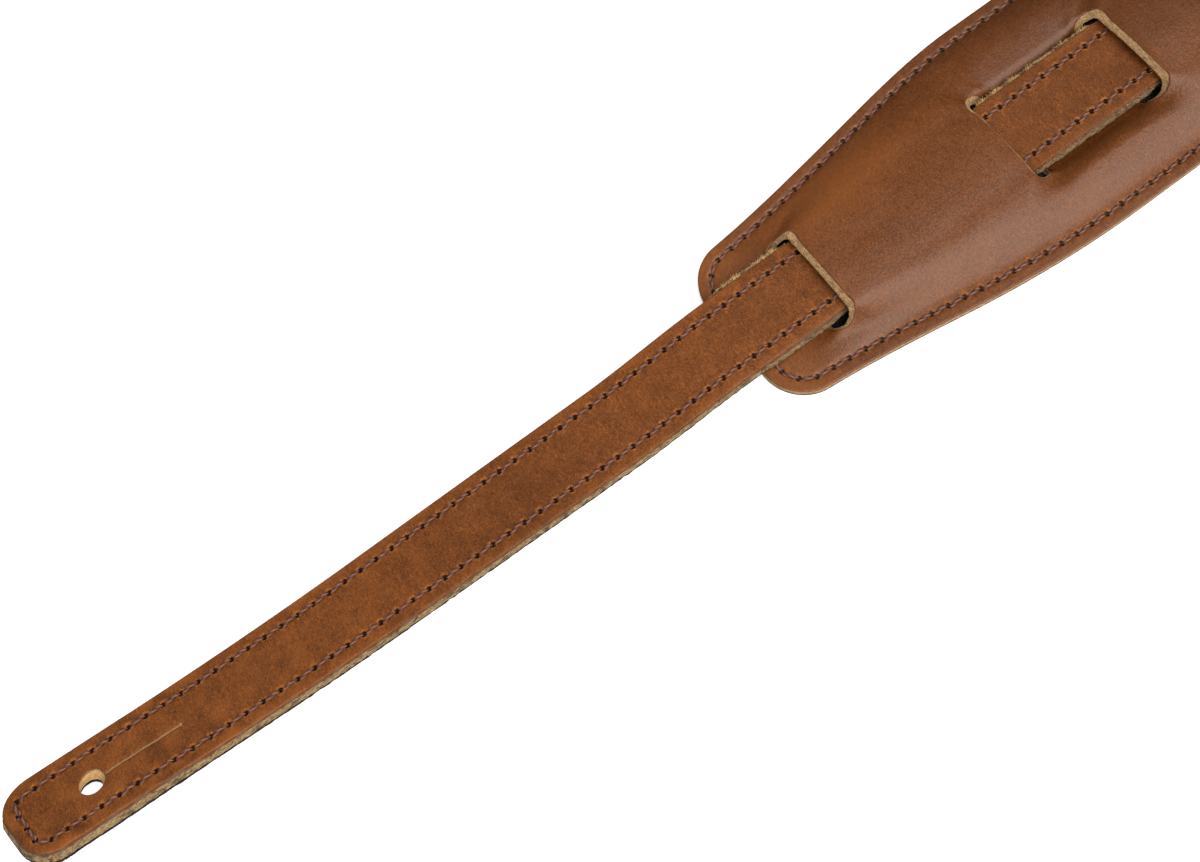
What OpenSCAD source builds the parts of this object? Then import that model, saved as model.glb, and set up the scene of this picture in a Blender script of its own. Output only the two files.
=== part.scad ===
// Leather guitar strap: a padded shoulder piece and an adjustable stitched tail strap.
// Millimetres. +X runs from the tail tip to the front tip, +Z is up, the strap lies on z = 0.

/* [Overall] */
// padded piece, rear edge to front tip
pad_len = 889; // [700:1:1000]
// tail strap showing behind the padded piece at rest
tail_out = 225; // [150:1:300]
// tail strap, tip to hidden inner end
tail_len = 600; // [450:1:700]

/* [Tail strap] */
// width of the tail strap
tail_w = 25.4; // [20:0.1:40]
// finished leather layer
tail_skin_t = 2.8; // [2:0.1:4]
// suede layer under it
tail_back_t = 0.8; // [0.5:0.1:2]
// corner radius of the tip
tip_r = 9; // [4:0.5:12]
// underside of the tail strap above the floor where it crosses the pad
ride_z = 3.9; // [3.7:0.1:6]
// tilt of the free end, degrees
tip_tilt = 19.3; // [0:0.1:30]
// fall of the free end per millimetre of length
tip_fall = 0.152; // [0:0.001:0.2]
// how far the tilt and fall stay constant from the tip
flat_end = 37; // [30:1:80]
// where the tail strap starts to rise to the pad, from the tip
rise_from = 182; // [150:1:210]

/* [Button holes] */
// round hole for the strap button
hole_d = 7; // [5:0.1:10]
// hole centre from the end of the strap
hole_in = 21.8; // [15:0.1:40]
// slit from the hole centre towards the pad
slit_len = 25.2; // [10:0.1:35]
// knife cut width
slit_w = 0.5; // [0.3:0.1:1]

/* [Pad outline] */
// widest part of the pad
pad_w = 76.2; // [60:0.1:100]
// width of the rear end
rear_w = 51.2; // [40:0.1:70]
// straight part of the rear edge
rear_flat = 27; // [10:0.5:40]
// length of the rear corner curve
rear_run = 12; // [5:0.5:20]
// length over which the pad widens
flare_run = 112; // [60:1:200]
// width of the front tongue
nose_w = 32; // [25:0.5:50]
// length of the parallel front tongue
nose_run = 66; // [40:1:100]
// length of the front taper
taper_run = 100; // [60:1:200]

/* [Pad layers] */
// suede backing
pad_back_t = 0.8; // [0.5:0.1:2]
// top leather
pad_skin_t = 2.2; // [1.2:0.1:3]
// top of the padding crown above the floor
crown_z = 9.6; // [6:0.1:15]
// flat margin outside the padding
margin = 4.6; // [4.5:0.1:8]
// half width of the foam channel for the tail strap
channel_half = 15.5; // [14:0.1:18]

/* [Slots] */
// slot centres from the rear edge of the pad
slot_1 = 25.7; // [20:0.1:40]
slot_2 = 94.8; // [80:0.1:120]
slot_3 = 134.8; // [125:0.1:170]
// slot width
slot_w = 5.0; // [4:0.1:10]
// slot length over its round ends
slot_l = 31; // [30:0.1:40]

/* [Stitching] */
// seam line from the edge of the tail strap
tail_seam = 4.2; // [3:0.1:6]
// seam line from the edge of the pad
pad_seam = 3.8; // [3:0.1:6]
// thread width
thread_w = 0.9; // [0.6:0.1:1.2]
// depth of the thread groove
groove_h = 0.35; // [0.2:0.05:0.6]

/* [Hidden] */
$fn = 64;

over_len = pad_len + tail_out;
x_tip = -over_len / 2;
x_pad = x_tip + tail_out;
gap = 0.05;
half_t = tail_w / 2;
tail_t = tail_skin_t + tail_back_t;
flange_z = pad_back_t + pad_skin_t;
over_z = ride_z + tail_t + 0.7 + pad_skin_t;
strap_half = half_t + 0.5;
pad_thread_h = 0.4;
tail_end_p = tail_len - tail_out + 16;
foam_from = 40;
foam_to = pad_len - nose_run - 36;

// ---- small helpers ----
function clamp01(s) = min(1, max(0, s));
function smooth(s) = let (c = clamp01(s)) c * c * (3 - 2 * c);
function mix(a, b, s) = a + (b - a) * s;
function unit(v) = v / norm(v);
function span(a, b, n) = [for (i = [0:n]) a + (b - a) * i / n];

// moves a closed counter-clockwise outline inwards by d
function inset(pts, d) = let (n = len(pts)) [
    for (i = [0:n - 1])
        let (
            u = unit(pts[i] - pts[(i + n - 1) % n]),
            v = unit(pts[(i + 1) % n] - pts[i]),
            m = unit(u + v)
        )
        pts[i] + [-m[1], m[0]] * d / (m * u)
];

// closes a stack of equal rings into a tube of faces
function tube_faces(rings, n) = [
    for (j = [0:rings - 2], i = [0:n - 1])
        each let (a = j * n + i, b = j * n + (i + 1) % n)
            [[a, b + n, b], [a, a + n, b + n]]
];

// ---- the tail strap's resting shape, x from its tip ----
function tilt(x) = tip_tilt * pow(1 - clamp01((x - flat_end) / (tail_out - 1 - flat_end)), 1.06);
fall_run = 70;
fall_h = tip_fall * fall_run / 2;
function tip_lift(x) =
    x < flat_end ? fall_h + tip_fall * (flat_end - x)
    : fall_h * pow(1 - clamp01((x - flat_end) / fall_run), 2);
function lift(x) = tip_lift(x) + ride_z * smooth((x - rise_from) / (tail_out - 1 - rise_from));
function mid_z(x) = tail_t / 2 * cos(tilt(x)) + half_t * sin(tilt(x)) + lift(x);
function on_tail(x, y, h) = let (a = tilt(x), k = h - tail_t / 2)
    [x_tip + x, y * cos(a) + k * sin(a), mid_z(x) - y * sin(a) + k * cos(a)];

// outline of one side from the middle of the tip, as [point, inward normal]
side_x = concat([tip_r, 16, 24, flat_end], span(flat_end + 6, rise_from - 8, 16),
    span(rise_from, tail_out - 1, 8), [tail_len]);
side = concat(
    [[[0, 0], [1, 0]]],
    [for (a = span(0, 90, 9))
        [[tip_r - tip_r * cos(a), half_t - tip_r + tip_r * sin(a)], [cos(a), -sin(a)]]],
    [for (i = [1:len(side_x) - 1]) [[side_x[i], half_t], [0, -1]]]
);
n_side = len(side);
rim_path = concat(
    [for (i = [n_side - 1:-1:1]) [for (v = side[i]) [v[0], -v[1]]]],
    side
);
n_rim = len(rim_path);
function rim_at(i, d) = rim_path[i][0] + rim_path[i][1] * d;

// a layer of the tail strap: prof lists [inset, top, bottom] from the edge inwards
module tail_layer(prof) {
    k = len(prof);
    pts = [
        for (side_n = [1, 2], j = [0:k - 1], i = [0:n_rim - 1])
            let (q = rim_at(i, prof[j][0]))
            on_tail(q[0], q[1], prof[j][side_n])
    ];
    low = k * n_rim;
    top_faces = [
        for (j = [0:k - 2], i = [0:n_rim - 2])
            each let (a = j * n_rim + i)
                [[a, a + 1, a + n_rim + 1], [a, a + n_rim + 1, a + n_rim]]
    ];
    inner = (k - 1) * n_rim;
    across = [
        for (i = [0:n_side - 2])
            let (a = inner + i, b = inner + n_rim - 1 - i)
            if (b - 1 > a + 1) each [[a, a + 1, b - 1], [a, b - 1, b]]
            else [a, a + 1, b]
    ];
    edge = [
        for (i = [0:n_rim - 2])
            each [[i, low + i, low + i + 1], [i, low + i + 1, i + 1]]
    ];
    cut_end = [
        for (j = [0:k - 2])
            each let (a = j * n_rim, b = a + n_rim, c = a + n_rim - 1, d = c + n_rim)
                [[a, b, low + b], [a, low + b, low + a],
                 [d, c, low + c], [d, low + c, low + d]]
    ];
    a = inner;
    b = inner + n_rim - 1;
    skin = concat(top_faces, across);
    under = [for (f = skin) [low + f[2], low + f[1], low + f[0]]];
    polyhedron(
        points = pts,
        faces = concat(skin, under, edge, cut_end, [[a, b, low + b], [a, low + b, low + a]]),
        convexity = 8
    );
}

// a thread lying in the tail strap's groove: sec lists [inset, height]
module tail_thread(sec) {
    k = len(sec);
    pts = [
        for (i = [0:n_rim - 1], s = sec)
            let (q = rim_at(i, s[0]))
            on_tail(q[0], q[1], s[1])
    ];
    first = [for (i = [0:k - 1]) i];
    last = [for (i = [k - 1:-1:0]) (n_rim - 1) * k + i];
    polyhedron(points = pts, faces = concat(tube_faces(n_rim, k), [first, last]), convexity = 8);
}

// the button hole and its slit, cut square to the tilted end of the tail strap
module tail_hole() {
    ex = unit([1, 0, -tip_fall]);
    ez = unit(cross([1, 0, -tip_fall], [0, cos(tip_tilt), -sin(tip_tilt)]));
    ey = cross(ez, ex);
    p = on_tail(hole_in, 0, tail_t / 2);
    multmatrix([
        [ex[0], ey[0], ez[0], p[0]],
        [ex[1], ey[1], ez[1], p[1]],
        [ex[2], ey[2], ez[2], p[2]],
        [0, 0, 0, 1]
    ]) {
        cylinder(d = hole_d, h = 4 * tail_t, center = true);
        translate([hole_d / 2 - 0.3, -slit_w / 2, -2 * tail_t])
            cube([slit_len - hole_d / 2 + 0.3, slit_w, 4 * tail_t]);
    }
}

// ---- the pad, p from its rear edge ----
function flare(p) = mix(rear_w, pad_w, smooth((p + 4) / flare_run)) / 2;
function rear_half(p) =
    p >= rear_run ? flare(p)
    : flare(p) - (flare(rear_run) - rear_flat / 2) * (1 - sqrt(1 - pow(1 - p / rear_run, 2)));
function front_half(q) =
    q < nose_w / 2 ? nose_w / 2 - (nose_w / 2 - 3) * (1 - sqrt(1 - pow(1 - 2 * q / nose_w, 2)))
    : mix(nose_w, pad_w, smooth((q - nose_run) / taper_run)) / 2;
function half_w(p) = min(rear_half(p), front_half(pad_len - p));

function around(s) = [s - 9, s - 5, s - slot_w / 2 + 0.2, s + slot_w / 2 - 0.2, s + 5, s + 9];
nose_q = [nose_w / 2, 10.5, 6.5, 3.6, 1.5, 0.4, 0];
st = concat(
    [0, 0.3, 1.2, 2.8, 5, 8, rear_run],
    around(slot_1), [44, 52, 62, 72, 81], around(slot_2), [115, 121], around(slot_3),
    [156, 180, 260, tail_end_p, tail_end_p + 24],
    span(tail_end_p + 80, pad_len - nose_run - taper_run, 3),
    [for (q = span(nose_run + taper_run - 10, nose_run, 9)) pad_len - q],
    [for (q = [40, 24]) pad_len - q],
    [for (q = nose_q) pad_len - q]
);
n_st = len(st);

// how much of the padding is under the leather at p
function fullness(p) = smooth((p - 8) / 55) * smooth((pad_len - p - nose_run + 6) / taper_run);
// height of the leather over or under the tail strap
function slot_step(p, s) = clamp01((p - s + slot_w / 2 - 0.2) / (slot_w - 0.4));
function strap_z(p) =
    p < slot_2 - slot_w ? mix(flange_z, over_z, slot_step(p, slot_1))
    : p < slot_3 - slot_w ? mix(over_z, flange_z, slot_step(p, slot_2))
    : p < tail_end_p ? mix(flange_z, over_z, slot_step(p, slot_3))
    : mix(over_z, crown(p, 0), smooth((p - tail_end_p) / 24));
function crown(p, t) = flange_z + (crown_z - flange_z) * fullness(p) * pow(1 - t * t, 0.75);

// rows across one half of the pad, from the middle to the edge
row_t = [0, 0.2, 0.4, 0.6, 0.8, 1];
function row_y(p) =
    let (w = half_w(p), a = min(strap_half, w / 2), b = max(w - margin, 0.75 * w))
    concat([0, a / 2], [for (t = row_t) mix(a, b, t)], [w]);
function row_z(p) = concat(
    [strap_z(p), strap_z(p)],
    [for (t = row_t) mix(strap_z(p), crown(p, t), smooth(t / 0.75))],
    [flange_z]
);
n_half = len(row_t) + 3;

// a sheet over the pad's own grid, between top and bottom heights, rows -m..m
module grid_sheet(stations, m, top, bottom) {
    n = len(stations);
    c = 2 * m + 1;
    ys = [for (p = stations) row_y(p)];
    function xy(i, j) = [x_pad + stations[i], sign(j) * ys[i][abs(j)]];
    pts = concat(
        [for (i = [0:n - 1], j = [-m:m]) [each xy(i, j), top[i][abs(j)]]],
        [for (i = [0:n - 1], j = [-m:m]) [each xy(i, j), bottom[i][abs(j)]]]
    );
    low = n * c;
    upper = [
        for (i = [0:n - 2], j = [0:c - 2])
            each let (a = i * c + j)
                [[a, a + 1, a + c + 1], [a, a + c + 1, a + c]]
    ];
    lower = [for (f = upper) [low + f[2], low + f[1], low + f[0]]];
    rear = [
        for (j = [0:c - 2]) each [[j, low + j, low + j + 1], [j, low + j + 1, j + 1]]
    ];
    e = (n - 1) * c;
    front = [
        for (j = [0:c - 2])
            each [[e + j, low + e + j + 1, low + e + j], [e + j, e + j + 1, low + e + j + 1]]
    ];
    right = [
        for (i = [0:n - 2])
            each let (a = i * c, b = a + c)
                [[a, low + b, low + a], [a, b, low + b]]
    ];
    left = [
        for (i = [0:n - 2])
            each let (a = i * c + c - 1, b = a + c)
                [[a, low + a, low + b], [a, low + b, b]]
    ];
    polyhedron(
        points = pts,
        faces = concat(upper, lower, rear, front, right, left),
        convexity = 8
    );
}

pad_rim = concat(
    [for (p = st) [x_pad + p, -half_w(p)]],
    [for (i = [n_st - 1:-1:0]) [x_pad + st[i], half_w(st[i])]]
);

module seam_ring(width, height) {
    linear_extrude(height = height)
        difference() {
            polygon(inset(pad_rim, pad_seam - width / 2));
            polygon(inset(pad_rim, pad_seam + width / 2));
        }
}

module slot_cut(s) {
    reach = slot_l / 2 - slot_w / 2;
    translate([x_pad + s, 0, -1]) {
        for (y = [-reach, reach])
            translate([0, y, 0])
                cylinder(d = slot_w, h = over_z + 4);
        translate([-slot_w / 2, -reach, 0])
            cube([slot_w, 2 * reach, over_z + 4]);
    }
}

module front_hole() {
    x = x_pad + pad_len - hole_in;
    translate([x, 0, -1])
        cylinder(d = hole_d, h = flange_z + 2);
    translate([x - slit_len, -slit_w / 2, -1])
        cube([slit_len - hole_d / 2 + 0.3, slit_w, flange_z + 2]);
}

// ---- nodes ----
module pad_top_leather() {
    z = [for (p = st) row_z(p)];
    color("saddlebrown")
        difference() {
            grid_sheet(st, n_half - 1, z, [for (r = z) [for (h = r) h - pad_skin_t]]);
            slot_cut(slot_1);
            slot_cut(slot_2);
            slot_cut(slot_3);
            front_hole();
        }
}

module pad_foam() {
    stf = [for (p = st) if (p >= foam_from && p <= foam_to) p];
    rows = n_half - 2;
    top = [
        for (p = stf)
            let (z = row_z(p))
            [for (h = z) max(pad_back_t + gap + 0.02, h - pad_skin_t - gap)]
    ];
    bottom = [for (p = stf) [for (k = [0:n_half - 1]) pad_back_t + gap]];
    color("dimgray")
        difference() {
            grid_sheet(stf, rows - 1, top, bottom);
            translate([x_pad, -channel_half, -1])
                cube([tail_end_p + 24, 2 * channel_half, crown_z + 4]);
        }
}

module pad_backing() {
    color("black")
        difference() {
            linear_extrude(height = pad_back_t)
                polygon(pad_rim);
            translate([0, 0, -1])
                seam_ring(thread_w + 0.2, groove_h + 1 + gap);
            front_hole();
        }
}

module pad_needle_thread() {
    color("indigo")
        translate([0, 0, flange_z + gap])
            seam_ring(thread_w, pad_thread_h - gap);
}

module pad_bobbin_thread() {
    color("indigo")
        translate([0, 0, 0.02])
            seam_ring(thread_w, groove_h - 0.02);
}

module tail_leather() {
    top = tail_t;
    dip = tail_t - groove_h;
    w = thread_w / 2;
    color("peru")
        difference() {
            tail_layer([
                [0, top - 0.5, tail_back_t + gap],
                [0.5, top, tail_back_t + gap],
                [tail_seam - w - 0.3, top, tail_back_t + gap],
                [tail_seam - w - 0.1, dip, tail_back_t + gap],
                [tail_seam + w + 0.1, dip, tail_back_t + gap],
                [tail_seam + w + 0.3, top, tail_back_t + gap]
            ]);
            tail_hole();
        }
}

module tail_backing() {
    w = thread_w / 2;
    color("black")
        difference() {
            tail_layer([
                [0, tail_back_t, 0],
                [tail_seam - w - 0.3, tail_back_t, 0],
                [tail_seam - w - 0.1, tail_back_t, groove_h],
                [tail_seam + w + 0.1, tail_back_t, groove_h],
                [tail_seam + w + 0.3, tail_back_t, 0]
            ]);
            tail_hole();
        }
}

module tail_needle_thread() {
    z = tail_t - groove_h + 0.03;
    w = thread_w / 2;
    color("indigo")
        tail_thread([
            [tail_seam - w + 0.1, z],
            [tail_seam - w, z + 0.3],
            [tail_seam - w + 0.2, z + 0.6],
            [tail_seam + w - 0.2, z + 0.6],
            [tail_seam + w, z + 0.3],
            [tail_seam + w - 0.1, z]
        ]);
}

module tail_bobbin_thread() {
    z = groove_h - 0.03;
    w = thread_w / 2;
    color("indigo")
        tail_thread([
            [tail_seam + w - 0.1, z],
            [tail_seam + w, z - 0.25],
            [tail_seam + w - 0.2, z - 0.5],
            [tail_seam - w + 0.2, z - 0.5],
            [tail_seam - w, z - 0.25],
            [tail_seam - w + 0.1, z]
        ]);
}

pad_top_leather();
pad_foam();
pad_backing();
pad_needle_thread();
pad_bobbin_thread();
tail_leather();
tail_backing();
tail_needle_thread();
tail_bobbin_thread();
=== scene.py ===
import math

import bpy
import numpy as np
from mathutils import Matrix, Vector
from mathutils.kdtree import KDTree


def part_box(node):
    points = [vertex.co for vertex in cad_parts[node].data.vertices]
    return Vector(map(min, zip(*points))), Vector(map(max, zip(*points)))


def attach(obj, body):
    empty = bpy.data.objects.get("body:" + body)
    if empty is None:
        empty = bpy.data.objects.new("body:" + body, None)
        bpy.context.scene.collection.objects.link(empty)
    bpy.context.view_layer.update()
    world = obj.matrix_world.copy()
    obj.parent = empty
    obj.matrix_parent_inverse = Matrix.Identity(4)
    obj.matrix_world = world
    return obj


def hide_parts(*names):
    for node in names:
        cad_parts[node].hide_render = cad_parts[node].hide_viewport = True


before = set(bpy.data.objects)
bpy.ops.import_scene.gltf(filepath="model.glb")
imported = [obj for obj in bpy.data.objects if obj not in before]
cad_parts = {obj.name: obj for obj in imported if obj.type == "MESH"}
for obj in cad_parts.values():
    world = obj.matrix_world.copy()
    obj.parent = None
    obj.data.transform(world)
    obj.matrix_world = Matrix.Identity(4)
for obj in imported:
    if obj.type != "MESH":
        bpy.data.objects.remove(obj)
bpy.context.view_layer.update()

MM = 0.001

# ---------------------------------------------------------------- camera
SENSOR = 36.0
LENS = 40.055
CAM_PLACE = (-0.406403, -0.119595, 0.344703)
CAM_RIGHT = (0.8085381, -0.5731117, -0.1334506)
CAM_DOWN = (-0.5828684, -0.7488653, -0.3153810)
CAM_AHEAD = (0.0808120, 0.3327817, -0.9395349)

cam = bpy.data.objects.new("camera", bpy.data.cameras.new("camera"))
bpy.context.scene.collection.objects.link(cam)
cam.data.sensor_width = SENSOR
cam.data.lens = LENS
cam.data.clip_start = 0.01
turn = Matrix((CAM_RIGHT, [-v for v in CAM_DOWN], [-v for v in CAM_AHEAD])).transposed()
cam.matrix_world = Matrix.Translation(CAM_PLACE) @ turn.to_4x4()
bpy.context.scene.camera = cam

# ---------------------------------------------------------------- sizes, mm
tail_lo, tail_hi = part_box("tail_leather")
pad_lo, pad_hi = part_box("pad_top_leather")
X_TIP = tail_lo.x / MM                      # tip of the tail
X_PAD = pad_lo.x / MM                       # rear edge of the pad
PAD_LEN = (pad_hi.x - pad_lo.x) / MM
TAIL_LEN = (tail_hi.x - tail_lo.x) / MM
TAIL_W = 25.4                               # a standard 1 in strap, which sets the scale
HALF_TAIL = TAIL_W / 2
TAIL_T = 3.6                                # leather and suede together
SUEDE_T = 0.8
TIP_R = 9.0
RIDE_Z = 3.9                                # rise of the tail where it crosses the pad
TIP_TILT = math.radians(19.3)
TIP_FALL = 0.152                            # per mm of length
TIP_LIFT = 5.32                             # height of the tail's lowest edge at FLAT_END
FLAT_END = 37                               # tilt and fall stay constant up to here from the tip
TILT_RUN = 187                              # length over which the tilt fades
TILT_POWER = 1.06
FALL_RUN = 70
RISE_FROM, RISE_RUN = 182, 42
HOLE_X = 21.8
HOLE_R = 3.5
SLIT_END = 47.0
FLANGE_Z = 3.0                              # top of the pad at its flat rim
OVER_Z = 10.4                               # top of the pad over the tail
SKIN_T = 2.2
CROWN_Z = 9.6
STRAP_HALF = 13.2                           # half the channel that the tail slides in
PAD_W, REAR_W, NOSE_W = 76.2, 51.2, 32      # the pad's widest part, rear end and front tongue
FLARE_RUN, TAPER_RUN, NOSE_RUN = 112, 100, 66
REAR_R, REAR_FLAT = 12, 13.5                # length of the rear corners' curve, half the edge between
NOSE_R, NOSE_FLAT = 16, 3
REAR_ROWS, NOSE_ROWS = 26, 22               # rows of points round the rear corners and the nose
TAIL_END = 391                              # from the pad's rear edge: its bulge fades from here
SLOTS = (25.7, 94.8, 134.8)                 # from the pad's rear edge
SLOT_R = 2.5
CUT_SLOPE = 0.95                            # about how much wider a slot is cut above than below
SLOT_LOW, SLOT_HIGH = -12.9, 12.0           # y of the middles of a slot's round ends
TAIL_SEAM = 8.5                             # from the middle line
PAD_SEAM = 3.8                              # from the edge
PITCH = 5.08
RIM_BAND = 6.6                              # the pad's rim and seam, which have columns of their own
RIM = 0.45                                  # how far an edge's rounding reaches in


def clip01(s):
    return np.clip(s, 0.0, 1.0)


def smooth(s):
    c = clip01(s)
    return c * c * (3 - 2 * c)


def mix(a, b, t):
    return a + (b - a) * t


def waves(x, y, size, seed, n=14):
    """Soft seeded unevenness of about that wavelength, from -1 to 1."""
    rng = np.random.default_rng(seed)
    total = np.zeros(np.broadcast(x, y).shape)
    for _ in range(n):
        a, k, p = rng.uniform(0, math.tau), rng.uniform(0.6, 1.7) / size, rng.uniform(0, math.tau)
        total += np.sin(math.tau * k * (np.cos(a) * x + np.sin(a) * y) + p)
    return total / math.sqrt(n) * 0.8


# ---------------------------------------------------------------- the tail's shape
def tail_tilt(x):
    return TIP_TILT * (1 - clip01((x - FLAT_END) / TILT_RUN)) ** TILT_POWER


def tail_mid(x):
    a = tail_tilt(x)
    before = TIP_LIFT + TIP_FALL * (FLAT_END - x)
    after = TIP_LIFT * (1 - clip01((x - FLAT_END) / FALL_RUN)) ** 2
    fall = np.where(x < FLAT_END, before, after)
    rise = RIDE_Z * smooth((x - RISE_FROM) / RISE_RUN)
    return TAIL_T / 2 * np.cos(a) + HALF_TAIL * np.sin(a) + fall + rise


def on_tail(x, y, h):
    """Flat place on the tail, and height above its underside, to a point in metres."""
    lean = 0.28 * (1 - clip01(x / 30)) ** 1.5        # the tip is cut a little askew
    slant = (1 - smooth((x - 22) / 38)) * (TAIL_T - h) / TAIL_T      # and its edge slopes outward below
    bevel = clip01(-y / HALF_TAIL) ** 4 * (h / TAIL_T - 0.6)         # its whole -y edge leans in above
    a = tail_tilt(x)
    k = h - TAIL_T / 2
    return np.stack(((X_TIP + x - lean * y - 2.8 * slant) * MM,
                     (y * np.cos(a) + k * np.sin(a) - 0.4 * slant + 0.85 * bevel) * MM,
                     (tail_mid(x) - y * np.sin(a) + k * np.cos(a)) * MM), -1)


# ---------------------------------------------------------------- the pad's shape
def pad_half(p):
    """Half the pad's width at p from its rear edge."""
    def flare(v):
        return mix(REAR_W, PAD_W, smooth((v + 4) / FLARE_RUN)) / 2

    def drop(v):
        return 1 - np.sqrt(np.maximum(0, 1 - (1 - clip01(v)) ** 2))
    rear = flare(p) - (flare(float(REAR_R)) - REAR_FLAT) * drop(p / REAR_R)
    q = PAD_LEN - p
    tongue = NOSE_W / 2 - (NOSE_W / 2 - NOSE_FLAT) * drop(q / NOSE_R)
    front = np.where(q < NOSE_R, tongue, mix(NOSE_W, PAD_W, smooth((q - NOSE_RUN) / TAPER_RUN)) / 2)
    return np.minimum(rear, front)


def crown(p, t):
    full = smooth((p - 8) / 55) * smooth((PAD_LEN - p - 60) / 100)
    return FLANGE_Z + (CROWN_Z - FLANGE_Z) * full * np.maximum(0, 1 - t * t) ** 0.75


def pad_top(p, y):
    """Height of the pad's leather, before its seam, lips and grain."""
    off = np.abs(y)
    reach = 2.4 + 9.0 * smooth((off - 11.5) / 10)

    def step(s):
        return clip01((p - s + reach) / (2 * reach))
    up = smooth(step(SLOTS[0])) * (1 - smooth(step(SLOTS[1]))) + smooth(step(SLOTS[2]))
    dome = OVER_Z + 0.8 * (1 - clip01(off / STRAP_HALF) ** 2)
    dome = mix(dome, crown(p, 0 * p), smooth((p - TAIL_END) / 24))
    at_strap = mix(FLANGE_Z, dome, up)
    w = pad_half(p)
    flush = (1 - up) * smooth(y / 8)                  # on the +y side it stands almost level with the strap
    a = np.minimum(STRAP_HALF, w / 2) - 0.2 * flush
    b = np.maximum(w - 4.6, 0.75 * w)
    t = clip01((off - a) / (b - a))
    side = FLANGE_Z + (crown(p, t) - FLANGE_Z) * (1 - 0.48 * flush * (1 - smooth(t / 0.9)))
    z = mix(at_strap, side, smooth(t / mix(mix(0.42, 0.75, up), 0.14, flush)))
    for s in SLOTS:                          # the low side rises to meet the high one at a slot's ends
        z = z + 1.5 * (1 - up) * np.exp(-((off - 15.8) / 2.0) ** 2 - ((p - s) / 4.0) ** 2)
    return z


# lip of each slot: place, side, curl in radians, how much thinner it gets
LIPS = ((SLOTS[0], 1, 0.30, 0.0), (SLOTS[1], -1, -0.12, 0.5), (SLOTS[2], 1, 0.26, 0.0))
LIP_REACH = 6.5


def sway(p, y):
    """The wide part's edges sit a little to the +y side."""
    return y + 1.0 * smooth((p - 55) / 50) * smooth((330 - p) / 150) * (y / np.maximum(pad_half(p), 9)) ** 2


def on_pad(p, y, h):
    """Flat place on the pad, and height above its leather's top side, to a point in metres."""
    z = pad_top(p, y)
    x = p + 0 * y
    k = h + SKIN_T / 2
    for s, side, curl, thin in LIPS:
        ends = 1 - smooth((np.abs(y) - 12.5) / 6)
        out = side * (p - s)
        e = clip01((out - SLOT_R) / LIP_REACH)
        near = np.where((out > 0) & (out < SLOT_R + LIP_REACH + 1), ends, 0)
        a = curl * (1 - e) ** 2 * near
        z = z + curl * LIP_REACH / 3 * (1 - e) ** 3 * near
        x = x + side * k * np.sin(a)
        z = z - np.maximum(0, k) * thin * (1 - e) ** 2 * near
    return np.stack(((X_PAD + x) * MM, sway(p, y) * MM + 0 * x, (z + h) * MM), -1)


# ---------------------------------------------------------------- seams
class Seam:
    """A line of stitches: a flat path, needle holes along it, and where a flat point lies beside it."""

    def __init__(self, path, holes):
        self.pts = np.array(path, float)
        step = np.linalg.norm(np.diff(self.pts, axis=0), axis=1)
        self.s = np.concatenate(([0.0], np.cumsum(step)))
        fine = np.arange(0, self.s[-1], 0.12)
        self.fine_s = fine
        self.fine = np.stack([np.interp(fine, self.s, self.pts[:, i]) for i in (0, 1)], -1)
        along = np.gradient(self.fine, axis=0)
        self.along = along / np.linalg.norm(along, axis=1)[:, None]
        self.holes = np.array(holes(self), float)

    def at(self, s, aside):
        """Flat point at arc length s, and that far to its left."""
        p = np.stack([np.interp(s, self.fine_s, self.fine[:, i]) for i in (0, 1)], -1)
        d = np.stack([np.interp(s, self.fine_s, self.along[:, i]) for i in (0, 1)], -1)
        return p[..., 0] - d[..., 1] * aside, p[..., 1] + d[..., 0] * aside

    def beside(self, x, y):
        """For flat points: place along the seam counted in stitches, and distance from it in mm."""
        tree = KDTree(len(self.fine))
        for i, (a, b) in enumerate(self.fine):
            tree.insert((a, b, 0.0), i)
        tree.balance()
        count, far = np.zeros(len(x)), np.zeros(len(x))
        for i in range(len(x)):
            _, k, _ = tree.find((x[i], y[i], 0.0))
            dx, dy = x[i] - self.fine[k, 0], y[i] - self.fine[k, 1]
            tx, ty = self.along[k]
            count[i] = self.fine_s[k] + dx * tx + dy * ty
            far[i] = ty * dx - tx * dy
        return np.interp(count, self.holes, np.arange(len(self.holes))), far


def tail_seam_path():
    end_x, r, far_x = 3.4, 3.2, TAIL_LEN - 8
    arc = np.linspace(0, math.pi / 2, 24)
    up = [(end_x + r - r * math.sin(a), TAIL_SEAM - r + r * math.cos(a)) for a in arc]
    down = [(x, -y) for x, y in reversed(up)]
    return [(far_x, TAIL_SEAM), *up, *down, (far_x, -TAIL_SEAM)]


def tail_seam_holes(seam):
    far_x, upper_x, lower_x, round_tip = TAIL_LEN - 8, 14.2, 11.7, 7
    first = far_x - upper_x                      # arc length at the last hole of the +y row
    last = seam.s[-1] - (far_x - lower_x)
    before = np.arange(first, 0, -PITCH)[::-1]
    tip = np.linspace(first, last, round_tip + 1)[1:-1]
    return np.concatenate((before, tip, np.arange(last, seam.s[-1], PITCH)))


def pad_outline(p, inset):
    """The +y side's points, moved in by inset along the outline's normal."""
    w = pad_half(p)
    e = 0.02
    slope = (pad_half(np.minimum(p + e, PAD_LEN)) - pad_half(np.maximum(p - e, 0))) / (
        np.minimum(p + e, PAD_LEN) - np.maximum(p - e, 0))
    n = np.stack((-slope, np.ones_like(slope)), -1)
    n /= np.linalg.norm(n, axis=1)[:, None]
    return p - inset * n[:, 0], w - inset * n[:, 1]


def turn_in(radius, n):
    """Distances from an end over a corner's curve, close together where it turns most."""
    return radius * (1 - np.cos(np.linspace(0, math.pi / 2, n)))


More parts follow.
